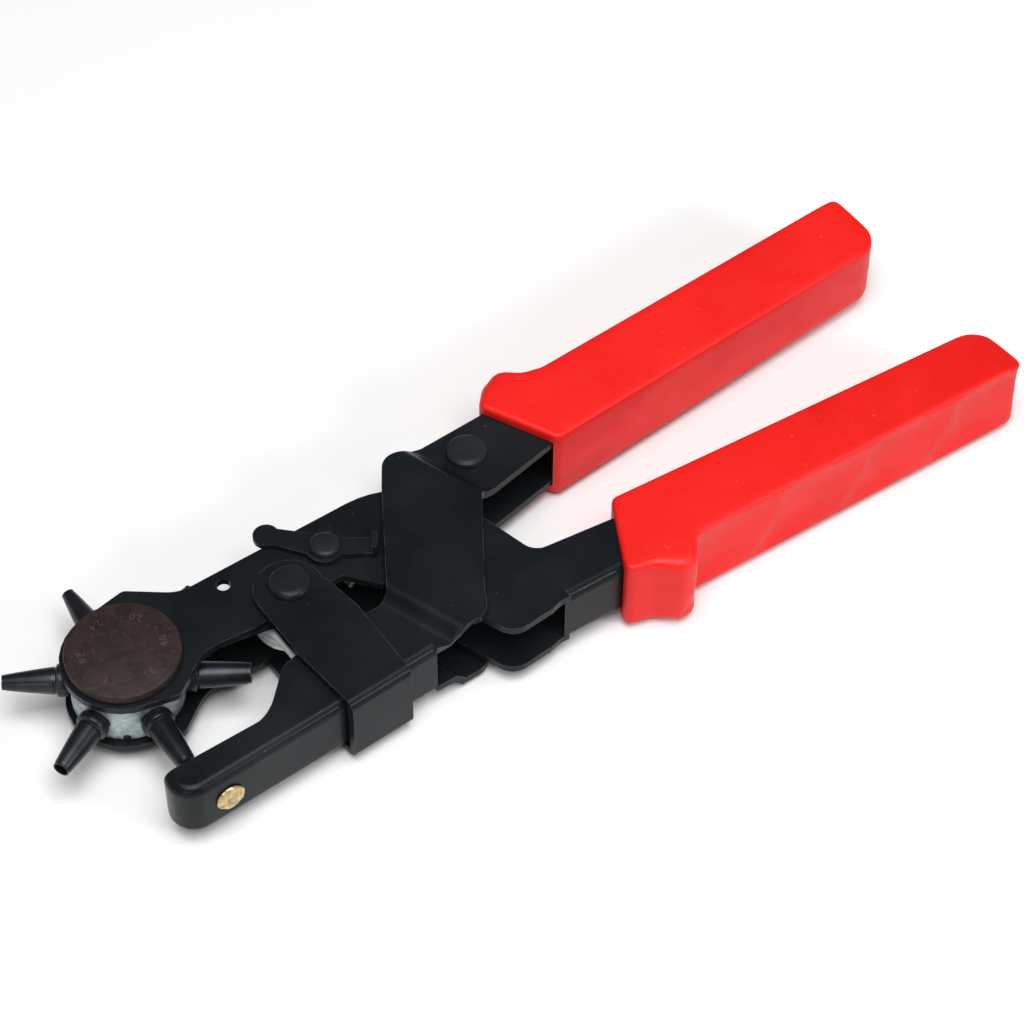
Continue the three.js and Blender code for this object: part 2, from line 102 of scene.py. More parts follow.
# ---- node helpers --------------------------------------------------------------------
class Shader:
    """A principled material, with short calls for the nodes that feed it."""

    def __init__(self, name):
        self.material = bpy.data.materials.new(name)
        self.material.use_nodes = True
        self.tree = self.material.node_tree
        self.tree.nodes.clear()
        output = self.tree.nodes.new("ShaderNodeOutputMaterial")
        self.bsdf = self.tree.nodes.new("ShaderNodeBsdfPrincipled")
        self.tree.links.new(self.bsdf.outputs[0], output.inputs[0])
        self.place = self.tree.nodes.new("ShaderNodeTexCoord").outputs["Object"]

    def node(self, kind, inputs=None, **settings):
        made = self.tree.nodes.new(kind)
        for key, value in settings.items():
            setattr(made, key, value)
        for key, value in (inputs or {}).items():
            self.feed(made.inputs[key], value)
        return made

    def feed(self, socket, value):
        if isinstance(value, bpy.types.NodeSocket):
            self.tree.links.new(value, socket)
        else:
            socket.default_value = value

    def set(self, **values):
        """Principled inputs by name, with _ for a space."""
        for key, value in values.items():
            self.feed(self.bsdf.inputs[key.replace("_", " ")], value)

    def noise(self, scale, detail=3.0, rough=0.55, distortion=0.0, vector=None):
        made = self.node("ShaderNodeTexNoise", {
            "Vector": vector or self.place, "Scale": scale, "Detail": detail,
            "Roughness": rough, "Distortion": distortion,
        })
        return made.outputs["Fac"]

    def stretched(self, scales):
        """Object position with each axis scaled, for grain that runs one way."""
        return self.node("ShaderNodeMapping", {
            "Vector": self.place, "Scale": scales,
        }).outputs["Vector"]

    def span(self, value, low, high, to_low=0.0, to_high=1.0):
        return self.node("ShaderNodeMapRange", {
            "Value": value, "From Min": low, "From Max": high,
            "To Min": to_low, "To Max": to_high,
        }).outputs["Result"]

    def mix(self, factor, a, b):
        made = self.node("ShaderNodeMix", data_type="RGBA")
        self.feed(made.inputs[0], factor)
        self.feed(made.inputs[6], (*a, 1.0) if isinstance(a, tuple) else a)
        self.feed(made.inputs[7], (*b, 1.0) if isinstance(b, tuple) else b)
        return made.outputs[2]

    def maths(self, operation, a, b):
        made = self.node("ShaderNodeMath", operation=operation)
        self.feed(made.inputs[0], a)
        self.feed(made.inputs[1], b)
        return made.outputs[0]

    def bump(self, height, distance, strength=1.0, normal=None):
        inputs = {"Height": height, "Distance": distance, "Strength": strength}
        if normal is not None:
            inputs["Normal"] = normal
        return self.node("ShaderNodeBump", inputs).outputs["Normal"]

    def sharp_edge_mask(self, radius):
        """1 on sharp outer edges and corners, 0 on flat ground."""
        soft = self.node("ShaderNodeBevel", {"Radius": radius}, samples=4)
        true = self.node("ShaderNodeNewGeometry").outputs["Normal"]
        dot = self.node("ShaderNodeVectorMath", operation="DOT_PRODUCT")
        self.feed(dot.inputs[0], soft.outputs[0])
        self.feed(dot.inputs[1], true)
        return self.span(dot.outputs["Value"], 0.97, 0.80)


def lacquer(name, dark, light, roughness):
    """Black sprayed lacquer over steel: faint mottling, orange peel, pale edges that are partly
    rubbed wear and partly painted highlight.
    """
    s = Shader(name)
    cloud = s.noise(55, 4)
    base = s.mix(s.span(cloud, 0.35, 0.7), dark, light)
    # pale edges: partly rubbed wear, partly painted highlight along the rims and folds
    edge_lightening = s.maths("MULTIPLY", s.sharp_edge_mask(0.35 * MM), s.span(s.noise(300, 5), 0.38, 0.60))
    nick = s.span(s.noise(850, 2), 0.745, 0.775)
    wear_and_highlight = s.maths("MAXIMUM", s.maths("MULTIPLY", edge_lightening, 0.75), s.maths("MULTIPLY", nick, 0.55))
    s.set(Base_Color=s.mix(wear_and_highlight, base, (0.10, 0.11, 0.12)))
    smear = s.noise(38, 3, 0.5, 0.2)
    s.set(Roughness=s.span(smear, 0.3, 0.7, roughness - 0.02, roughness + 0.05))
    peel = s.bump(s.noise(1500, 2), 0.02 * MM, 0.30)
    wave = s.bump(s.noise(45, 1), 0.06 * MM, 0.3, peel)
    s.set(Normal=wave)
    s.set(Specular_IOR_Level=0.13)
    return s.material


def moulded_vinyl(name, deep, bright):
    """Soft red vinyl: even colour with a dull bloom, fine grain, small scuffs and a painted
    highlight along the edges.
    """
    s = Shader(name)
    bloom = s.span(s.noise(30, 4, 0.6, 0.5), 0.35, 0.75)
    base = s.mix(bloom, deep, bright)
    fleck = s.span(s.noise(520, 4), 0.69, 0.745)
    base = s.mix(s.maths("MULTIPLY", fleck, 0.35), base, (0.62, 0.16, 0.13))
    # painted highlight: lighter red mixed in along the grip's sharp edges
    painted_edge_highlight = s.maths("MULTIPLY", s.sharp_edge_mask(1.0 * MM), s.span(s.noise(120, 4), 0.3, 0.6))
    base = s.mix(s.maths("MULTIPLY", painted_edge_highlight, 0.5), base, (0.88, 0.085, 0.065))
    s.set(Base_Color=base)
    scuff = s.noise(160, 5, 0.65)
    s.set(Roughness=s.span(scuff, 0.3, 0.72, 0.40, 0.56))
    grain = s.bump(s.noise(2600, 2), 0.02 * MM, 0.30)
    s.set(Normal=s.bump(s.noise(90, 3), 0.10 * MM, 0.30, grain))
    s.set(Specular_IOR_Level=0.32, Subsurface_Weight=0.03, Subsurface_Scale=0.001)
    s.bsdf.inputs["Subsurface Radius"].default_value = (1.0, 0.25, 0.15)
    return s.material


def metal(name, dark, light, roughness, scales=(300, 300, 300), edge=None, metallic=1.0,
          lines=0.25):
    """Bare or plated metal with tool marks along the axes that scales stretches."""
    s = Shader(name)
    marks = s.noise(1.0, 4, 0.6, 0.0, s.stretched(scales))
    cloud = s.noise(140, 5, 0.6)
    base = s.mix(s.span(cloud, 0.3, 0.7), dark, light)
    if edge is not None:
        edge_lightening = s.maths("MULTIPLY", s.sharp_edge_mask(0.3 * MM), s.span(s.noise(500, 4), 0.4, 0.6))
        base = s.mix(edge_lightening, base, edge)
    s.set(Base_Color=base)
    s.set(Metallic=metallic)
    grime = s.noise(90, 4)
    s.set(Roughness=s.span(grime, 0.3, 0.7, roughness - 0.07, roughness + 0.10))
    s.set(Normal=s.bump(marks, 0.02 * MM, lines))
    return s.material


def zinc(name):
    """Dull zinc plate on the drum: pale, mottled, with faint turning marks."""
    s = Shader(name)
    spangle = s.noise(260, 5, 0.65, 0.6)
    base = s.mix(s.span(spangle, 0.35, 0.68), (0.20, 0.25, 0.26), (0.58, 0.66, 0.65))
    stain = s.span(s.noise(75, 4), 0.55, 0.72)
    s.set(Base_Color=s.mix(s.maths("MULTIPLY", stain, 0.6), base, (0.11, 0.13, 0.14)))
    s.set(Metallic=0.75)
    s.set(Roughness=s.span(spangle, 0.3, 0.7, 0.36, 0.56))
    turning = s.noise(1.0, 3, 0.6, 0.0, s.stretched((60, 60, 2600)))
    s.set(Normal=s.bump(turning, 0.03 * MM, 0.4))
    return s.material


def dial_plastic(name, deep, bright):
    """Brown moulded plastic with a fine spark-eroded grain and dusty patches."""
    s = Shader(name)
    cloud = s.span(s.noise(260, 6, 0.7), 0.38, 0.64)
    dust = s.span(s.noise(900, 3), 0.58, 0.70)
    base = s.mix(cloud, deep, bright)
    s.set(Base_Color=s.mix(s.maths("MULTIPLY", dust, 0.38), base, (0.070, 0.045, 0.042)))
    s.set(Roughness=s.span(s.noise(240, 4), 0.3, 0.7, 0.50, 0.66))
    grain = s.bump(s.noise(2300, 3), 0.05 * MM, 0.6)
    s.set(Normal=s.bump(s.noise(420, 4), 0.16 * MM, 0.5, grain))
    s.set(Specular_IOR_Level=0.28)
    return s.material


def hammered_brass(name):
    """Cast brass: warm, uneven, a little tarnish in the low spots."""
    s = Shader(name)
    beat = s.noise(420, 4, 0.6, 0.3)
    base = s.mix(s.span(beat, 0.34, 0.62), (0.34, 0.21, 0.075), (0.84, 0.66, 0.36))
    s.set(Base_Color=base)
    s.set(Metallic=0.70)
    s.set(Roughness=s.span(s.noise(300, 4), 0.3, 0.7, 0.34, 0.54))
    s.set(Normal=s.bump(beat, 0.30 * MM, 0.9))
    return s.material


BLACK = lacquer("black_lacquer", (0.0055, 0.0076, 0.0090), (0.0115, 0.0148, 0.0168), 0.25)
BLACK_LATCH = lacquer("latch_lacquer", (0.0062, 0.0075, 0.0088), (0.0125, 0.0150, 0.0170), 0.32)
BLACK_RIVET = lacquer("rivet_black", (0.0105, 0.0125, 0.0140), (0.0210, 0.0240, 0.0260), 0.30)
RED = moulded_vinyl("red_vinyl", (0.72, 0.0060, 0.0045), (0.82, 0.0125, 0.0085))
STEEL = metal("turned_steel", (0.30, 0.31, 0.32), (0.46, 0.47, 0.48), 0.34,
              (500, 500, 3000))
SPRING = metal("plated_wire", (0.76, 0.82, 0.82), (0.95, 0.98, 0.98), 0.34,
               (900, 900, 2200), None, 0.40, 0.18)
OXIDE = metal("black_oxide", (0.012, 0.015, 0.018), (0.040, 0.045, 0.051), 0.34,
              (700, 700, 700), (0.22, 0.23, 0.24), 0.75, 0.6)
ZINC = zinc("zinc_plate")
DIAL = dial_plastic("brown_plastic", (0.0135, 0.0072, 0.0070), (0.031, 0.0165, 0.0155))
MARKS = dial_plastic("mark_plastic", (0.040, 0.023, 0.020), (0.080, 0.052, 0.040))
BRASS = hammered_brass("hammered_brass")


# ---- finishing of the CAD nodes ------------------------------------------------------
def edge_group(name, limit):
    """Geometry nodes that shade faces smooth and keep edges over limit degrees sharp."""
    group = bpy.data.node_groups.new(name, "GeometryNodeTree")
    group.interface.new_socket("Geometry", in_out="INPUT", socket_type="NodeSocketGeometry")
    group.interface.new_socket("Geometry", in_out="OUTPUT", socket_type="NodeSocketGeometry")
    make, link = group.nodes.new, group.links.new
    start, end = make("NodeGroupInput"), make("NodeGroupOutput")
    angle = make("GeometryNodeInputMeshEdgeAngle")
    over = make("FunctionNodeCompare")
    over.data_type = "FLOAT"
    over.operation = "GREATER_THAN"
    over.inputs[1].default_value = math.radians(limit)
    faces = make("GeometryNodeSetShadeSmooth")
    faces.domain = "FACE"
    edges = make("GeometryNodeSetShadeSmooth")
    edges.domain = "EDGE"
    edges.inputs["Shade Smooth"].default_value = False
    link(start.outputs[0], faces.inputs["Geometry"])
    link(faces.outputs["Geometry"], edges.inputs["Geometry"])
    link(angle.outputs["Unsigned Angle"], over.inputs[0])
    link(over.outputs[0], edges.inputs["Selection"])
    link(edges.outputs["Geometry"], end.inputs[0])
    return group


SMOOTH = edge_group("smooth_by_angle", 32)
WELD_REACH = 0.002
FLAT_LIMIT = 0.4                 # faces closer than this many degrees are one face
SHARP_LIMIT = 40                 # edges that bend more than this get the bevel
FOLD_R = 1.5


def fold_group(obj, low, high, shortest):
    """Vertex group of the upper side's long edges that bend between low and high."""
    bm = bmesh.new()
    bm.from_mesh(obj.data)
    bmesh.ops.remove_doubles(bm, verts=bm.verts, dist=WELD_REACH * MM)
    bmesh.ops.dissolve_limit(bm, angle_limit=math.radians(FLAT_LIMIT), verts=bm.verts,
                             edges=bm.edges)
    ends = []
    for edge in bm.edges:
        if len(edge.link_faces) == 2 and edge.calc_length() > shortest * MM:
            if low < math.degrees(edge.calc_face_angle()) < high:
                upper = [(obj.matrix_world @ vert.co).z > MID * MM for vert in edge.verts]
                if all(upper):
                    ends += [vert.co.copy() for vert in edge.verts]
    bm.free()
    group = obj.vertex_groups.new(name="folds")
    for vert in obj.data.vertices:
        if any((vert.co - end).length < 1.5 * WELD_REACH * MM for end in ends):
            group.add([vert.index], 1.0, "REPLACE")
    return bool(ends)


def smooth_edges(obj, weld=True, bevel=0.0, folds=False):
    """Drops the facets' own normals and adds modifiers that weld, round the folds, bevel
    sharp edges and shade smooth. The bevel's overlap clamp narrows it to the room that the
    mesh's shortest edges leave, so it comes out at 0.1 mm or less, whatever is asked."""
    if "custom_normal" in obj.data.attributes:
        obj.data.attributes.remove(obj.data.attributes["custom_normal"])
    if weld:
        merge = obj.modifiers.new("weld", "WELD")
        merge.merge_threshold = WELD_REACH * MM
    if bevel:
        flat = obj.modifiers.new("flat", "DECIMATE")
        flat.decimate_type = "DISSOLVE"
        flat.angle_limit = math.radians(FLAT_LIMIT)
        if folds:
            bend = obj.modifiers.new("bend", "BEVEL")
            bend.width = FOLD_R * MM
            bend.segments = 5
            bend.limit_method = "VGROUP"
            bend.vertex_group = "folds"
            bend.use_clamp_overlap = False
        soft = obj.modifiers.new("bevel", "BEVEL")
        soft.width = bevel * MM
        soft.segments = 3
        soft.limit_method = "ANGLE"
        soft.angle_limit = math.radians(SHARP_LIMIT)
        soft.use_clamp_overlap = True
    shade = obj.modifiers.new("shade", "NODES")
    shade.node_group = SMOOTH
    if bevel:
        even = obj.modifiers.new("even_normals", "WEIGHTED_NORMAL")
        even.keep_sharp = True


FOLD_ANGLES = (40.5, 60.0)       # the joggled folds bend by 42 and 51 degrees
SHORTEST_FOLD = 9.0


def dress(names, material, bevel=0.0):
    """Gives CAD nodes their material and smooths them; with a bevel, folds are rounded."""
    for name in names:
        obj = NODES[name]
        obj.data.materials.clear()
        obj.data.materials.append(material)
        bent = bool(bevel) and fold_group(obj, *FOLD_ANGLES, SHORTEST_FOLD)
        smooth_edges(obj, True, bevel, bent)


dress(["frame", "lever", "pivot_strap"], BLACK, 0.32)
dress(["latch_lever"], BLACK_LATCH, 0.25)
dress(["pivot_rivet", "rear_rivet", "latch_rivet"], BLACK_RIVET)
dress(["pivot_sleeve", "rear_spacer", "latch_sleeve", "turret_axle"], STEEL)
dress(["detent_leaf", "leaf_rivet", "axle_washer"], OXIDE)
dress(["detent_ball"], SPRING)
dress(["turret_drum"], ZINC, 0.12)
dress(["size_dial"], DIAL)


# ---- mesh helpers --------------------------------------------------------------------
def finish_mesh(name, bm, material, body, replaced, limit_smooth=True):
    """Turns a bmesh into a piece that rides on a body and stands for replaced nodes."""
    bmesh.ops.recalc_face_normals(bm, faces=bm.faces)
    for face in bm.faces:
        face.smooth = True
    mesh = bpy.data.meshes.new(name)
    bm.to_mesh(mesh)
    bm.free()
    mesh.materials.append(material)
    obj = bpy.data.objects.new(name, mesh)
    bpy.context.scene.collection.objects.link(obj)
    if limit_smooth:
        smooth_edges(obj, False)
    if body:
        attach(obj, body)
    if replaced:
        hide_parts(*replaced)
    return obj


def rings_to_mesh(rings, looped=False):
    """Quads between successive rings of points. The last ring joins the first when
    looped; otherwise one n-gon closes each end."""
    bm = bmesh.new()
    made = [[bm.verts.new(p) for p in ring] for ring in rings]
    pairs = list(zip(made, made[1:]))
    if looped:
        pairs.append((made[-1], made[0]))
    for a, b in pairs:
        count = len(a)
        for i in range(count):
            j = (i + 1) % count
            bm.faces.new((a[i], a[j], b[j], b[i]))
    if not looped:
        bm.faces.new(list(reversed(made[0])))
        bm.faces.new(made[-1])
    return bm


def turned(profile, segments, place, roughen=None):
    """Ring mesh of a closed (radius, along) profile, turned about local Z.
    place maps a local point to the row frame, both in millimetres."""
    rings = []
    for r, along in profile:
        ring = []
        for i in range(segments):
            t = 2 * math.pi * i / segments
            p = Vector((r * math.cos(t), r * math.sin(t), along))
            if roughen:
                p = roughen(p, r, along)
            ring.append(place(p) * MM)
        rings.append(ring)
    return rings


# ---- punch tubes ------------------------------------------------------------------------
def radial_place(angle):
    """Places local (x, y, along) at the turret: along points out at the plan angle."""
    c, s = math.cos(math.radians(angle)), math.sin(math.radians(angle))
    return lambda p: Vector((
        TURRET[0] + c * p.z - s * p.x, TURRET[1] + s * p.z + c * p.x, MID + p.y,
    ))


TUBE_WALL = 0.36
NECK_R = 3.05
NECK_FROM = 16.2
NECK_TO = TIP_R - 1.2
NECK_STEPS = 8
TUBE_SEGMENTS = 44


def make_tube(number, bore):
    """Shank, grooved collar, tapered neck, cutting edge and bore."""
    inner = bore / 2
    tip = inner + TUBE_WALL
    profile = [(inner, 8.5), (2.75, 8.5), (2.9, 8.65), (2.9, 13.0), (3.4, 13.0),
               (3.62, 13.1), (3.7, 13.3), (3.7, 14.85), (3.64, 15.05), (3.45, 15.2),
               (3.12, 15.28), (2.98, 15.4), (2.96, 15.65), (3.06, 15.85)]
    for i in range(NECK_STEPS + 1):
        t = i / NECK_STEPS
        swell = 0.05 * math.sin(math.pi * t)
        profile.append((NECK_R + (tip + 0.1 - NECK_R) * t + swell,
                        NECK_FROM + (NECK_TO - NECK_FROM) * t))
    profile += [(tip + 0.02, TIP_R - 0.75), (tip - 0.1, TIP_R - 0.3),
                (inner + 0.3, TIP_R - 0.03), (inner + 0.14, TIP_R), (inner, TIP_R - 0.1),
                (inner, 18.0)]
    angle = ACTIVE_ANGLE + TUBE_STEP * (number - 1)
    rings = turned(profile, TUBE_SEGMENTS, radial_place(angle))
    finish_mesh(f"tube_{number}", rings_to_mesh(rings, looped=True), OXIDE,
                "turret_body", [f"punch_tube_{number}"])


for position, bore in enumerate(TUBE_BORES, 1):
    make_tube(position, bore)


# ---- painted shade of a notch at the drum's lower rim ----------------------------------
MARK_DROP = 4.6
MARK_HALF = 0.95
MARK_PROUD = 0.08


def make_notch_shade():
    angle = math.radians(ACTIVE_ANGLE - TUBE_STEP / 2)
    outward = Vector((math.cos(angle), math.sin(angle), 0.0))
    across = Vector((-outward.y, outward.x, 0.0))
    centre = Vector((TURRET[0], TURRET[1], MID - MARK_DROP)) + outward * (DRUM_R - 0.01)
    bm = bmesh.new()
    bmesh.ops.create_uvsphere(bm, u_segments=24, v_segments=12, radius=1.0)
    for vert in bm.verts:
        x, y, z = vert.co
        ragged = 1 + 0.16 * noise.noise(Vector((x * 2, y * 2, z * 2 + 5.0)))
        vert.co = (centre + across * (MARK_HALF * x * ragged) + outward * (MARK_PROUD * y)
                   + Vector((0, 0, MARK_HALF * z * ragged))) * MM
    # painted shade: a thin black lens on the drum's surface stands in for the shade inside a
    # notch
    finish_mesh("painted_notch_shade", bm, BLACK, "turret_body", None)


make_notch_shade()


# ---- anvil with its hammered shank end --------------------------------------------------
ANVIL_X = -37.3
ANVIL_BACK = -32.4 + 0.036 * ANVIL_X     # the jaw's sloping back at the anvil
ANVIL_FACE = -24.9


def make_anvil():
    def place(p):
        return Vector((ANVIL_X + p.x, p.z, MID + p.y))

    def hammer(p, r, along):
        """Beats the shank's end out of round and out of flat."""
        if along > ANVIL_BACK - 0.3:
            return p
        beat = noise.noise(Vector((p.x * 0.9 + 3.1, p.y * 0.9, 1.7)))
        fine = noise.noise(Vector((p.x * 2.6, p.y * 2.6 + 8.0, 4.2)))
        grow = 1 + 0.07 * beat * min(1.0, r / 2.0)
        return Vector((p.x * grow, p.y * grow, along - 0.16 * beat - 0.10 * fine))

    back = ANVIL_BACK
    profile = [(0.04, back - 1.30), (0.5, back - 1.30), (1.0, back - 1.28),
               (1.5, back - 1.25), (2.0, back - 1.20), (2.5, back - 1.12),
               (2.9, back - 1.0), (3.2, back - 0.82), (3.38, back - 0.60),
               (3.42, back - 0.35), (2.5, back - 0.3), (2.5, back + 2.1),
               (4.45, back + 2.1), (4.6, back + 2.25), (4.6, ANVIL_FACE - 0.45),
               (4.5, ANVIL_FACE - 0.2), (4.3, ANVIL_FACE - 0.05), (4.1, ANVIL_FACE),
               (2.0, ANVIL_FACE), (0.04, ANVIL_FACE)]
    rings = turned(profile, 56, place, hammer)
    finish_mesh("anvil_brass", rings_to_mesh(rings), BRASS, "lever_body",
                ["anvil"])


make_anvil()


# ---- return spring -------------------------------------------------------------------------
SPRING_R = 8.0
WIRE_R = 0.86
SPRING_TURNS = 3.25
COIL_TOP = 3.4                   # height of the coil's first turn over the mid-plane
COIL_STEPS = 120
WIRE_SIDES = 14


def spring_path():
    """Leg down from the lever, the coil, and a leg that ends as a hook."""
    points = [(-7.0, -18.4, 7.3), (-7.0, -18.4, 6.2), (-7.0, -18.4, 5.2),
              (-7.1, -17.6, 3.9), (-7.25, -15.8, 3.45), (-7.4, -12.0, 3.42),
              (-7.6, -8.0, 3.4), (-7.85, -3.5, 3.4)]
    for i in range(COIL_STEPS + 1):
        t = i / COIL_STEPS
        turn = math.pi - t * SPRING_TURNS * 2 * math.pi
        points.append((SPRING_R * math.cos(turn), SPRING_R * math.sin(turn),
                       COIL_TOP - 2 * COIL_TOP * t))
    points += [(2.0, 8.05, -3.4), (5.0, 8.15, -3.4), (9.0, 8.4, -3.4),
               (12.3, 8.6, -3.4), (14.6, 8.4, -3.4), (15.9, 7.3, -3.4),
               (16.3, 5.0, -3.4), (16.3, 3.0, -3.4), (16.3, 0.9, -3.4)]
    return [Vector((x, y, MID + z)) for x, y, z in points]


def rounded_path(points):
    """Cuts the corners, so that the wire bends smoothly; both ends stay put."""
    cut = [points[0]]
    for a, b in zip(points, points[1:]):
        cut.append(a.lerp(b, 0.25))
        cut.append(a.lerp(b, 0.75))
    cut.append(points[-1])
    return cut


def wire_rings(points, radius, sides):
    """Rings along a path, carried without twist, with small domes at both ends."""
    tangents = []
    for i in range(len(points)):
        a, b = points[max(i - 1, 0)], points[min(i + 1, len(points) - 1)]
        tangents.append((b - a).normalized())
    across = tangents[0].orthogonal().normalized()
    rings = []

    def ring(centre, tangent, r):
        other = tangent.cross(across)
        rings.append([
            (centre + (across * math.cos(t) + other * math.sin(t)) * r) * MM
            for t in (2 * math.pi * k / sides for k in range(sides))
        ])

    ring(points[0] - tangents[0] * 0.12 * radius, tangents[0], radius * 0.80)
    for centre, tangent in zip(points, tangents):
        across = (across - tangent * across.dot(tangent)).normalized()
        ring(centre, tangent, radius)
    ring(points[-1] + tangents[-1] * 0.12 * radius, tangents[-1], radius * 0.80)
    return rings


def make_spring():
    points = rounded_path(spring_path())
    bm = rings_to_mesh(wire_rings(points, WIRE_R, WIRE_SIDES))
    obj = finish_mesh("spring_wire", bm, SPRING, None, ["return_spring"])
    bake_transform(obj)


make_spring()


# ---- moulded grips ---------------------------------------------------------------------------
GRIP_H = 10.5
GRIP_EDGE = 1.1
GRIP_FRONT = 72.0
GRIP_RUN = 100.0
GRIP_WIDTH = 17.0
GRIP_CROWN = 0.12
HORN_SOFTENING = 0.28            # growth of the edge radius where the guard stands out
HORN_EDGE = 2.4
CORNER_STEPS = 4
FLAT_STEPS = 14
SIDE_STEPS = 5
THINNING = 0.2
BEAD_PROUD = 0.10                # parting line along the mid-plane
BEAD_HALF = 0.45
RING_GAP = 0.9
END_DEPTHS = (0.02, 0.12, 0.30, 0.55, 0.9, 1.3, 1.8, 2.4, 3.1)
SCALLOP_FROM = 79.0
SCALLOP_PITCH = 25.0
SCALLOP_COUNT = 4
SCALLOP_DEPTH = 1.3
SCALLOP_LEAN = 0.45
SCALLOP_BOW = 0.03
SCALLOP_SKEW = 0.55
SCALLOP_HALF = 9.6
SCALLOP_SKIN = 0.8               # only points this near the outer side are moved


def rounded_outline(corners, arc_steps=8):
    """Closed list of plan points with each corner [x, y, radius] rounded."""
    points = []
    count = len(corners)
    for i, (x, y, r) in enumerate(corners):
        p = Vector((x, y))
        a = (Vector(corners[i - 1][:2]) - p).normalized()
        b = (Vector(corners[(i + 1) % count][:2]) - p).normalized()
        half = math.acos(max(-1.0, min(1.0, a.dot(b)))) / 2
        centre = p + (a + b).normalized() * (r / math.sin(half))
        start = p + a * (r / math.tan(half)) - centre
        end = p + b * (r / math.tan(half)) - centre
        sweep = start.angle_signed(end)
        for k in range(arc_steps + 1):
            t = -sweep * k / arc_steps
            c, s = math.cos(t), math.sin(t)
            points.append(centre + Vector((c * start.x - s * start.y,
                                           s * start.x + c * start.y)))
    return points


def crossings(outline, origin, along):
    """Lowest and highest distance along a line at which it crosses the outline."""
    hits = []
    for p, q in zip(outline, outline[1:] + outline[:1]):
        edge = q - p
        cross = along.x * edge.y - along.y * edge.x
        if abs(cross) < 1e-9:
            continue
        away = p - origin
        t = (away.x * edge.y - away.y * edge.x) / cross
        u = (away.x * along.y - away.y * along.x) / cross
        if -1e-6 <= u <= 1 + 1e-6:
            hits.append(t)
    return (min(hits), max(hits)) if len(hits) > 1 else None


def section(width, top, edge, bulge):
    """Rounded oblong of (across, height) points from the inner side, symmetric in height.
    edge is the corner radius at the inner side and at the outer side."""
    inner_r, outer_r = edge
    upper = []
    for k in range(CORNER_STEPS + 1):
        t = math.pi - k * math.pi / (2 * CORNER_STEPS)
        upper.append((inner_r + inner_r * math.cos(t), top - inner_r + inner_r * math.sin(t)))
    for k in range(1, FLAT_STEPS):
        t = k / FLAT_STEPS
        upper.append((inner_r + (width - inner_r - outer_r) * t,
                      top + bulge * math.sin(math.pi * t)))
    for k in range(CORNER_STEPS + 1):
        t = math.pi / 2 - k * math.pi / (2 * CORNER_STEPS)
        upper.append((width - outer_r + outer_r * math.cos(t),
                      top - outer_r + outer_r * math.sin(t)))
    side = [upper[-1][1] * (1 - k / SIDE_STEPS) for k in range(1, SIDE_STEPS)]
    right = [(width, z) for z in side] + [(width, 0.0)] + [(width, -z) for z in reversed(side)]
    lower = [(a, -z) for a, z in reversed(upper)]
    side = [upper[0][1] * (1 - k / SIDE_STEPS) for k in range(1, SIDE_STEPS)]
    left = [(0.0, -z) for z in side] + [(0.0, 0.0)] + [(0.0, z) for z in reversed(side)]
    return upper + right + lower + left


def grip_places(length):
    """Where the rings stand along a grip: close at both ends and even between."""
    last = END_DEPTHS[-1]
    middle_count = int((length - 2 * last) / RING_GAP)
    middle = [last + (length - 2 * last) * (k + 1) / (middle_count + 1)
              for k in range(middle_count)]
    return [*END_DEPTHS, *middle, *(length - d for d in reversed(END_DEPTHS))]


def scallop(x):
    """Depth of the finger hollows at a plan x; ridges stand between them."""
    run = (x - SCALLOP_FROM) / SCALLOP_PITCH
    if run < 0 or run > SCALLOP_COUNT:
        return 0.0
    return SCALLOP_DEPTH * math.sin(math.pi * (run % 1.0) ** SCALLOP_SKEW)


def make_grip(name, node, body, corners, near, far, cavity, cavity_h):
    """near and far are the (inner, outer) plan points of the front and the free end."""
    outline = rounded_outline(corners)
    inner0, outer0 = Vector(near[0]), Vector(near[1])
    inner1, outer1 = Vector(far[0]), Vector(far[1])
    length = (inner1 - inner0).length
    rings = []
    for place in grip_places(length):
        u = place / length
        a, b = inner0.lerp(inner1, u), outer0.lerp(outer1, u)
        along = (b - a).normalized()
        span = crossings(outline, a, along)
        if span is None:
            continue
        start, width = a + along * span[0], span[1] - span[0]
        base = (b - a).length
        proud = max(0.0, span[1] - base)
        from_end = min(place, length - place)
        end_drop = 0.0
        if from_end < GRIP_EDGE:
            end_drop = GRIP_EDGE - math.sqrt(GRIP_EDGE ** 2 - (GRIP_EDGE - from_end) ** 2)
        top = GRIP_H - end_drop
        outer_r = min(GRIP_EDGE + HORN_SOFTENING * proud, HORN_EDGE, width * 0.45)
        inner_r = min(GRIP_EDGE, width * 0.45)
        ring = []
        for across, z in section(width, top, (inner_r, outer_r), GRIP_CROWN):
            p = start + along * across
            run = max(0.0, min(1.0, (p.x - GRIP_FRONT) / GRIP_RUN))
            share = max(0.0, min(1.0, 1 - across / GRIP_WIDTH))
            z *= 1 - THINNING * run * share
            inset = 0.0
            if across > width - SCALLOP_SKIN:
                shifted = p.x - SCALLOP_LEAN * z + SCALLOP_BOW * z * z
                inset = scallop(shifted) * max(0.0, 1 - (z / SCALLOP_HALF) ** 4)
            bead = BEAD_PROUD * math.exp(-(z / BEAD_HALF) ** 2)
            if across < 0.01:
                inset = bead
            elif across > width - 0.01:
                inset -= bead
            p = p - along * inset
            ring.append(Vector((p.x, p.y, MID + z)) * MM)
        rings.append(ring)
    bm = rings_to_mesh(rings)
    obj = finish_mesh(name, bm, RED, body, [node], limit_smooth=False)
    hollow(obj, cavity, cavity_h)
    smooth_edges(obj, False)


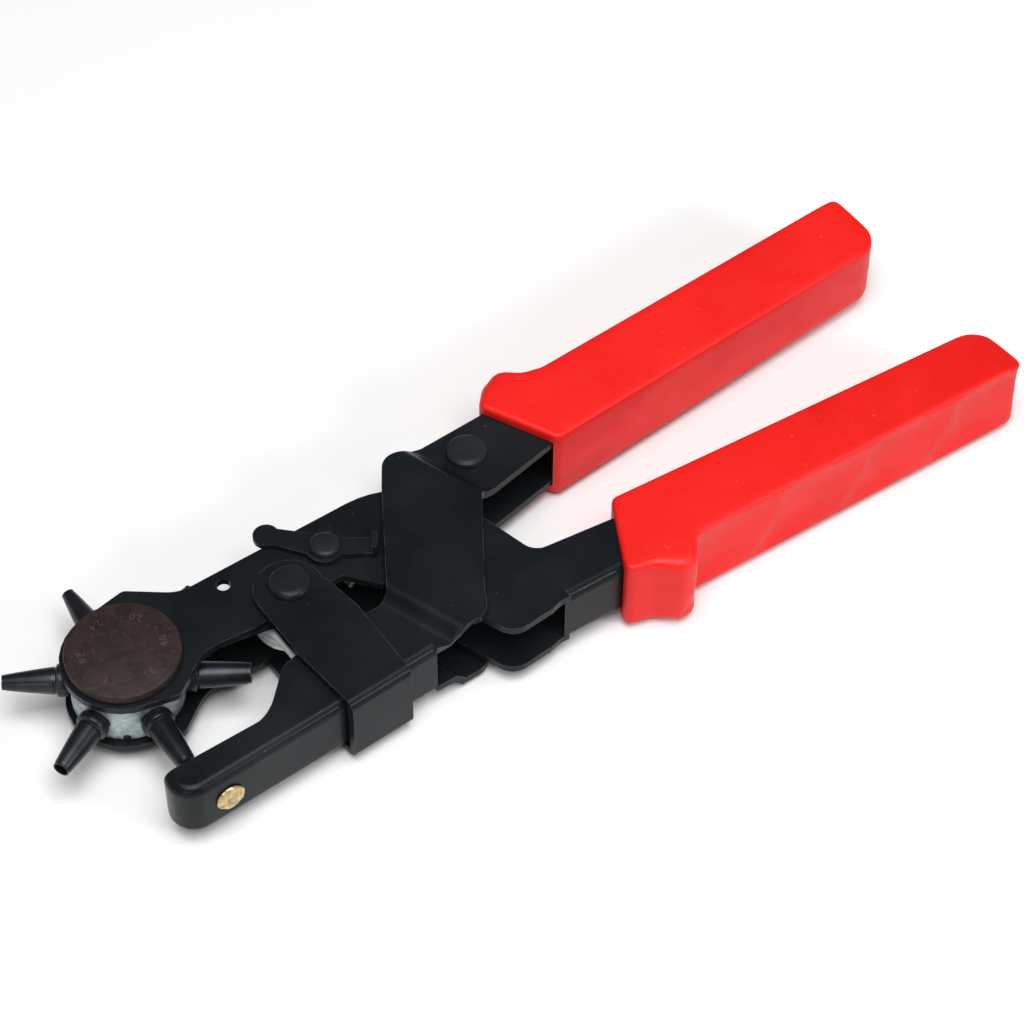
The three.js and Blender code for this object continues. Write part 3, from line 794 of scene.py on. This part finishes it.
def hollow(obj, corners, half_height):
    """Cuts the handle's socket out of a grip."""
    bm = bmesh.new()
    low = [bm.verts.new(Vector((x, y, MID - half_height)) * MM) for x, y in corners]
    high = [bm.verts.new(Vector((x, y, MID + half_height)) * MM) for x, y in corners]
    count = len(corners)
    bm.faces.new(list(reversed(low)))
    bm.faces.new(high)
    for i in range(count):
        j = (i + 1) % count
        bm.faces.new((low[i], low[j], high[j], high[i]))
    bmesh.ops.recalc_face_normals(bm, faces=bm.faces)
    mesh = bpy.data.meshes.new("socket_cutter")
    bm.to_mesh(mesh)
    bm.free()
    cutter = bpy.data.objects.new("socket_cutter", mesh)
    bpy.context.scene.collection.objects.link(cutter)
    cut = obj.modifiers.new("socket", "BOOLEAN")
    cut.operation = "DIFFERENCE"
    cut.solver = "EXACT"
    cut.object = cutter
    graph = bpy.context.evaluated_depsgraph_get()
    made = bpy.data.meshes.new_from_object(obj.evaluated_get(graph))
    obj.modifiers.clear()
    obj.data = made
    bpy.data.objects.remove(cutter, do_unlink=True)


make_grip(
    "upper_grip_vinyl", "upper_grip", "lever_body",
    [(72.6, 0.2, 2.2), (173.8, 6.9, 7), (172.0, 24.0, 2.6), (82, 20.4, 3),
     (77.2, 21.8, 3), (72.6, 25.6, 2.6), (67.2, 23.2, 2.6), (63.2, 18.6, 2.2)],
    ((72.6, 0.2), (63.2, 18.6)), ((173.8, 6.9), (172.0, 24.0)),
    [(60, 18.1), (66, 18.25), (152.4, 20.95), (152.4, 7.65), (72, 1.25), (60, -1.2)],
    8.0)
make_grip(
    "lower_grip_vinyl", "lower_grip", "frame_body",
    [(72.4, -20.6, 2.2), (62.8, -39.6, 2.2), (69.6, -41.6, 3), (74.2, -46.0, 2.4),
     (78.4, -45.8, 2.4), (81.4, -40.2, 3), (175.2, -43.2, 2.6), (175.0, -26.8, 7)],
    ((72.4, -20.6), (62.8, -39.6)), ((175.0, -26.8), (175.2, -43.2)),
    [(60, -22.6), (70, -23.85), (156.4, -29.25), (156.4, -40.35), (60, -37.25)],
    8.3)


# ---- size marks on the dial -----------------------------------------------------------------
DIAL_TOP = 22.6
FIGURE_R = 9.0
FIGURE_SIZE = 2.5
FIGURE_OFFSET = 12.0             # figures stand this many degrees past their tubes


def make_marks():
    for i, bore in enumerate(TUBE_BORES):
        font = bpy.data.curves.new(f"mark_font_{i + 1}", "FONT")
        font.body = f"{bore:.1f}"
        font.align_x = "CENTER"
        font.align_y = "CENTER"
        font.size = FIGURE_SIZE * MM
        font.extrude = 0.05 * MM
        font.bevel_depth = 0.02 * MM
        font.bevel_resolution = 1
        text = bpy.data.objects.new(f"mark_text_{i + 1}", font)
        bpy.context.scene.collection.objects.link(text)
        graph = bpy.context.evaluated_depsgraph_get()
        mesh = bpy.data.meshes.new_from_object(text.evaluated_get(graph))
        bpy.data.objects.remove(text, do_unlink=True)
        angle = math.radians(ACTIVE_ANGLE + TUBE_STEP * i + FIGURE_OFFSET)
        centre = Vector((TURRET[0] + FIGURE_R * math.cos(angle),
                         TURRET[1] + FIGURE_R * math.sin(angle), DIAL_TOP + 0.03)) * MM
        turn = Matrix.Rotation(angle + math.pi / 2, 4, "Z")
        mesh.transform(Matrix.Translation(centre) @ turn)
        mesh.materials.clear()
        mesh.materials.append(MARKS)
        obj = bpy.data.objects.new(f"dial_mark_{i + 1}", mesh)
        bpy.context.scene.collection.objects.link(obj)
        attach(obj, "turret_body")


make_marks()


# ---- floor and light -----------------------------------------------------------------------
def make_stage():
    bm = bmesh.new()
    bmesh.ops.create_grid(bm, x_segments=2, y_segments=2, size=4.0)
    mesh = bpy.data.meshes.new("floor")
    bm.to_mesh(mesh)
    bm.free()
    floor = bpy.data.objects.new("floor", mesh)
    floor.location = (0, 0, -0.0001)
    bpy.context.scene.collection.objects.link(floor)
    s = Shader("pale_floor")
    s.set(Base_Color=s.mix(s.noise(6, 2), (0.86, 0.86, 0.86), (0.89, 0.89, 0.89)))
    s.set(Roughness=0.85, Specular_IOR_Level=0.1)
    mesh.materials.append(s.material)

    world = bpy.data.worlds.new("studio")
    bpy.context.scene.world = world
    world.use_nodes = True
    world.node_tree.nodes["Background"].inputs["Color"].default_value = (1, 1, 1, 1)
    world.node_tree.nodes["Background"].inputs["Strength"].default_value = 0.14


def area_light(name, place, target, size, power):
    data = bpy.data.lights.new(name, "AREA")
    data.shape = "RECTANGLE"
    data.size, data.size_y = size
    data.energy = power
    obj = bpy.data.objects.new(name, data)
    obj.location = place
    aim = (Vector(target) - Vector(place)).to_track_quat("-Z", "Y")
    obj.rotation_euler = aim.to_euler()
    bpy.context.scene.collection.objects.link(obj)


make_stage()
area_light("overhead", (-0.1, -0.35, 1.5), (0.06, 0, 0), (1.1, 1.1), 27.0)
area_light("front_fill", (0.62, -1.05, 0.66), (0.06, 0, 0), (0.36, 0.20), 4.8)
area_light("left_fill", (-1.0, -0.75, 0.5), (0.06, 0, 0), (0.4, 0.4), 1.5)
bpy.context.scene.view_settings.view_transform = "Standard"
